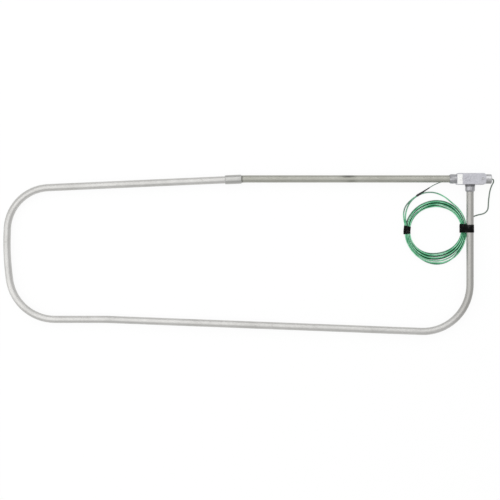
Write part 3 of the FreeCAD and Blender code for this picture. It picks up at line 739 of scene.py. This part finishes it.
jacket = {
    # painted shade: a greyer colour for strands low down and another for the lead right of the tee
    "lowShade": (0.15, 0.26, 0.20, 1), "bundle": (0.085, 0.39, 0.195, 1),
    "pale": (0.27, 0.67, 0.42, 1), "lead": (0.16, 0.205, 0.17, 1),
    "shadow": (0.006, 0.085, 0.030, 1),
    # where the lead's painted shade begins, right of the tee's centre, and the heights over which a
    # strand is painted brighter
    "leadShadeEnds": (0.004, 0.012), "litHeights": (0.0034, 0.0056),
    # how far a strand looks for its neighbours, and the openness that counts as dark and as clear:
    # painted shade between the strands
    "reach": 0.007, "openEnds": (0.52, 0.92), "looks": 8,
    "mottle": 55, "mottleEnds": (0.38, 0.66), "roughness": 0.3, "swing": 0.1, "shine": 0.12,
    "coat": 0.2, "coatRoughness": 0.08, "relief": 0.2, "reliefDepth": 0.0001,
}


def makeJacket(facts):
    material, shade = newMaterial("cableGreen")
    height = shade.node("ShaderNodeSeparateXYZ", {}, {0: shade.place()}, 2)
    right = shade.node("ShaderNodeSeparateXYZ", {}, {0: shade.place()}, 0)
    low, high = facts["litHeights"]
    start, end = facts["leadShadeEnds"]
    # painted shade: right of the tee the cable goes over to the greyer lead colour
    lead = shade.node("ShaderNodeMapRange", {"interpolation_type": "SMOOTHSTEP"}, {
        "Value": right, "From Min": teeX + start, "From Max": teeX + end})
    # painted light and shade: low strands take the greyer colour, high ones the brighter bundle
    # colours
    lift = shade.node("ShaderNodeMapRange", {"interpolation_type": "SMOOTHSTEP"}, {
        "Value": height, "From Min": low, "From Max": high})
    mottle = shade.noise(facts["mottle"])
    tone = shade.rise(mottle, facts["mottleEnds"])
    upper = shade.blendColours(tone, facts["bundle"], facts["pale"])
    # painted shade: where neighbouring strands close a point in, its colour goes to the shadow
    # colour
    room = shade.node("ShaderNodeAmbientOcclusion", {
        "samples": facts["looks"], "only_local": True}, {"Distance": facts["reach"]}, 1)
    light = shade.rise(room, facts["openEnds"])
    openColour = shade.blendColours(lift, facts["lowShade"], upper)
    openColour = shade.blendColours(lead, openColour, facts["lead"])
    shade.finish(shade.surface({
        "Base Color": shade.blendColours(light, facts["shadow"], openColour),
        "Roughness": facts["roughness"] + (mottle - 0.5) * facts["swing"],
        "Specular IOR Level": facts["shine"], "Coat Weight": light * facts["coat"],
        "Coat Roughness": facts["coatRoughness"],
        "Normal": shade.bump(mottle, facts["relief"], facts["reliefDepth"])}))
    return material


materials = {name: makeMetal(name, facts) for name, facts in metals.items()}
materials["cableGreen"] = makeJacket(jacket)
materials.update({name: makePlastic(name, facts) for name, facts in plastics.items()})
print("materials made:", len(materials))

finishes = {
    "loop_tube": "loopZinc", "top_tube": "topTubeZinc", "coupling_sleeve": "sleeveZinc",
    "coupling_set_screws": "screwZinc", "tee_body": "teeEnamel", "tee_gasket": "gasketRubber",
    "tee_cover": "teeEnamel", "cover_screws": "screwZinc", "ground_screw": "screwZinc",
    "left_connector": "fittingZinc", "left_ring": "washerSteel", "left_nut": "fittingZinc",
    "insulating_bushing": "bushingPlastic", "bottom_connector": "fittingZinc",
    "bottom_ring": "washerSteel", "bottom_nut": "fittingZinc", "gland_body": "nickelGland",
    "gland_seal": "gasketRubber", "gland_washer": "washerSteel", "gland_nut": "nickelGland",
    "loop_winding": "windingEnamel", "splice_caps": "capPlastic", "inner_leads": "leadWire",
}
for node, finish in finishes.items():
    for holder in nodes[node].material_slots:
        holder.material = materials[finish]


def dress(piece, body, finish, slot, *replaced):
    piece.data.materials.clear()
    piece.data.materials.append(materials[finish])
    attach(piece, body)
    if replaced:
        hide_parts(*replaced)


dress(greenCable, "antenna", "cableGreen", "cable_green",
      "cable_lead", "cable_coil", "cable_tail")
dress(lead, "antenna", "leadGreen", "cable_green", "tail_lead")
dress(shrinkSleeve, "antenna", "shrinkTube", "shrink_black", "heat_shrink")
dress(coilWrap, "antenna", "tapeVinyl", "tape_black", "coil_tape")
dress(pipeWrap, "antenna", "tapeVinyl", "tape_black", "pipe_tape")
dress(paperLabel, "cover", "paperWhite", "tee_paint")
dress(castPad, "cover", "teeEnamel", "tee_paint")
fromTee(*cable["exit"])
fromTee(*leadStart)


# studio: pale floor, even surround and three soft lamps

studio = {
    "floorHalf": 12.0,
    "floorHeight": -0.0002,
    "floorColour": (0.95, 0.95, 0.95, 1),
    "floorGlow": 0.90,
    "glossGlow": 0.60,
    "surround": 0.72,
    "lamps": [
        {"name": "overhead", "from": (-0.6, 0.2, 3.4), "size": (4.6, 3.4), "watts": 38},
        {"name": "leftFill", "from": (-3.2, -0.4, 2.0), "size": (2.4, 3.4), "watts": 24},
        {"name": "backStrip", "from": (0.3, 2.9, 2.6), "size": (4.0, 1.6), "watts": 22},
    ],
}


def makeFloor():
    # it glows for the camera, less so in reflections, and is plain matt for all other light
    deselectAll()
    bpy.ops.mesh.primitive_plane_add(
        size=2 * studio["floorHalf"], location=(0, 0, studio["floorHeight"]))
    floor = bpy.context.object
    floor.name = "studioFloor"
    material, shade = newMaterial("studioWhite")
    path = {out: shade.node("ShaderNodeLightPath", out=out) for out in (
        "Is Camera Ray", "Is Glossy Ray", "Is Transmission Ray")}
    glow = path["Is Camera Ray"] * studio["floorGlow"] + path["Is Glossy Ray"] * studio["glossGlow"]
    glow = glow + path["Is Transmission Ray"] * studio["floorGlow"]
    matt = shade.node("ShaderNodeBsdfDiffuse", {}, {"Color": studio["floorColour"]})
    bright = shade.node("ShaderNodeEmission", {}, {"Color": (1, 1, 1, 1), "Strength": 1.0})
    shade.finish(shade.node("ShaderNodeMixShader", {}, {0: glow, 1: matt, 2: bright}))
    floor.data.materials.append(material)


def makeSurround():
    world = bpy.data.worlds.new("surround")
    bpy.context.scene.world = world
    shade = Shade(world)
    camera = shade.node("ShaderNodeLightPath", out="Is Camera Ray")
    grey = studio["surround"]
    strength = grey + camera * (1 - grey)
    background = shade.node("ShaderNodeBackground", {}, {
        "Color": (1, 1, 1, 1), "Strength": strength})
    shade.finish(background, "ShaderNodeOutputWorld")


def makeLamp(facts):
    spot = Vector(facts["from"])
    bpy.ops.object.light_add(type="AREA", location=spot)
    lamp = bpy.context.object
    lamp.name = facts["name"]
    lamp.rotation_euler = (-spot).to_track_quat("-Z", "Y").to_euler()
    lamp.data.shape = "RECTANGLE"
    lamp.data.size, lamp.data.size_y = facts["size"]
    lamp.data.energy = facts["watts"]


makeFloor()
makeSurround()
for facts in studio["lamps"]:
    makeLamp(facts)
bpy.context.scene.view_settings.view_transform = "Standard"
print("studio lit")
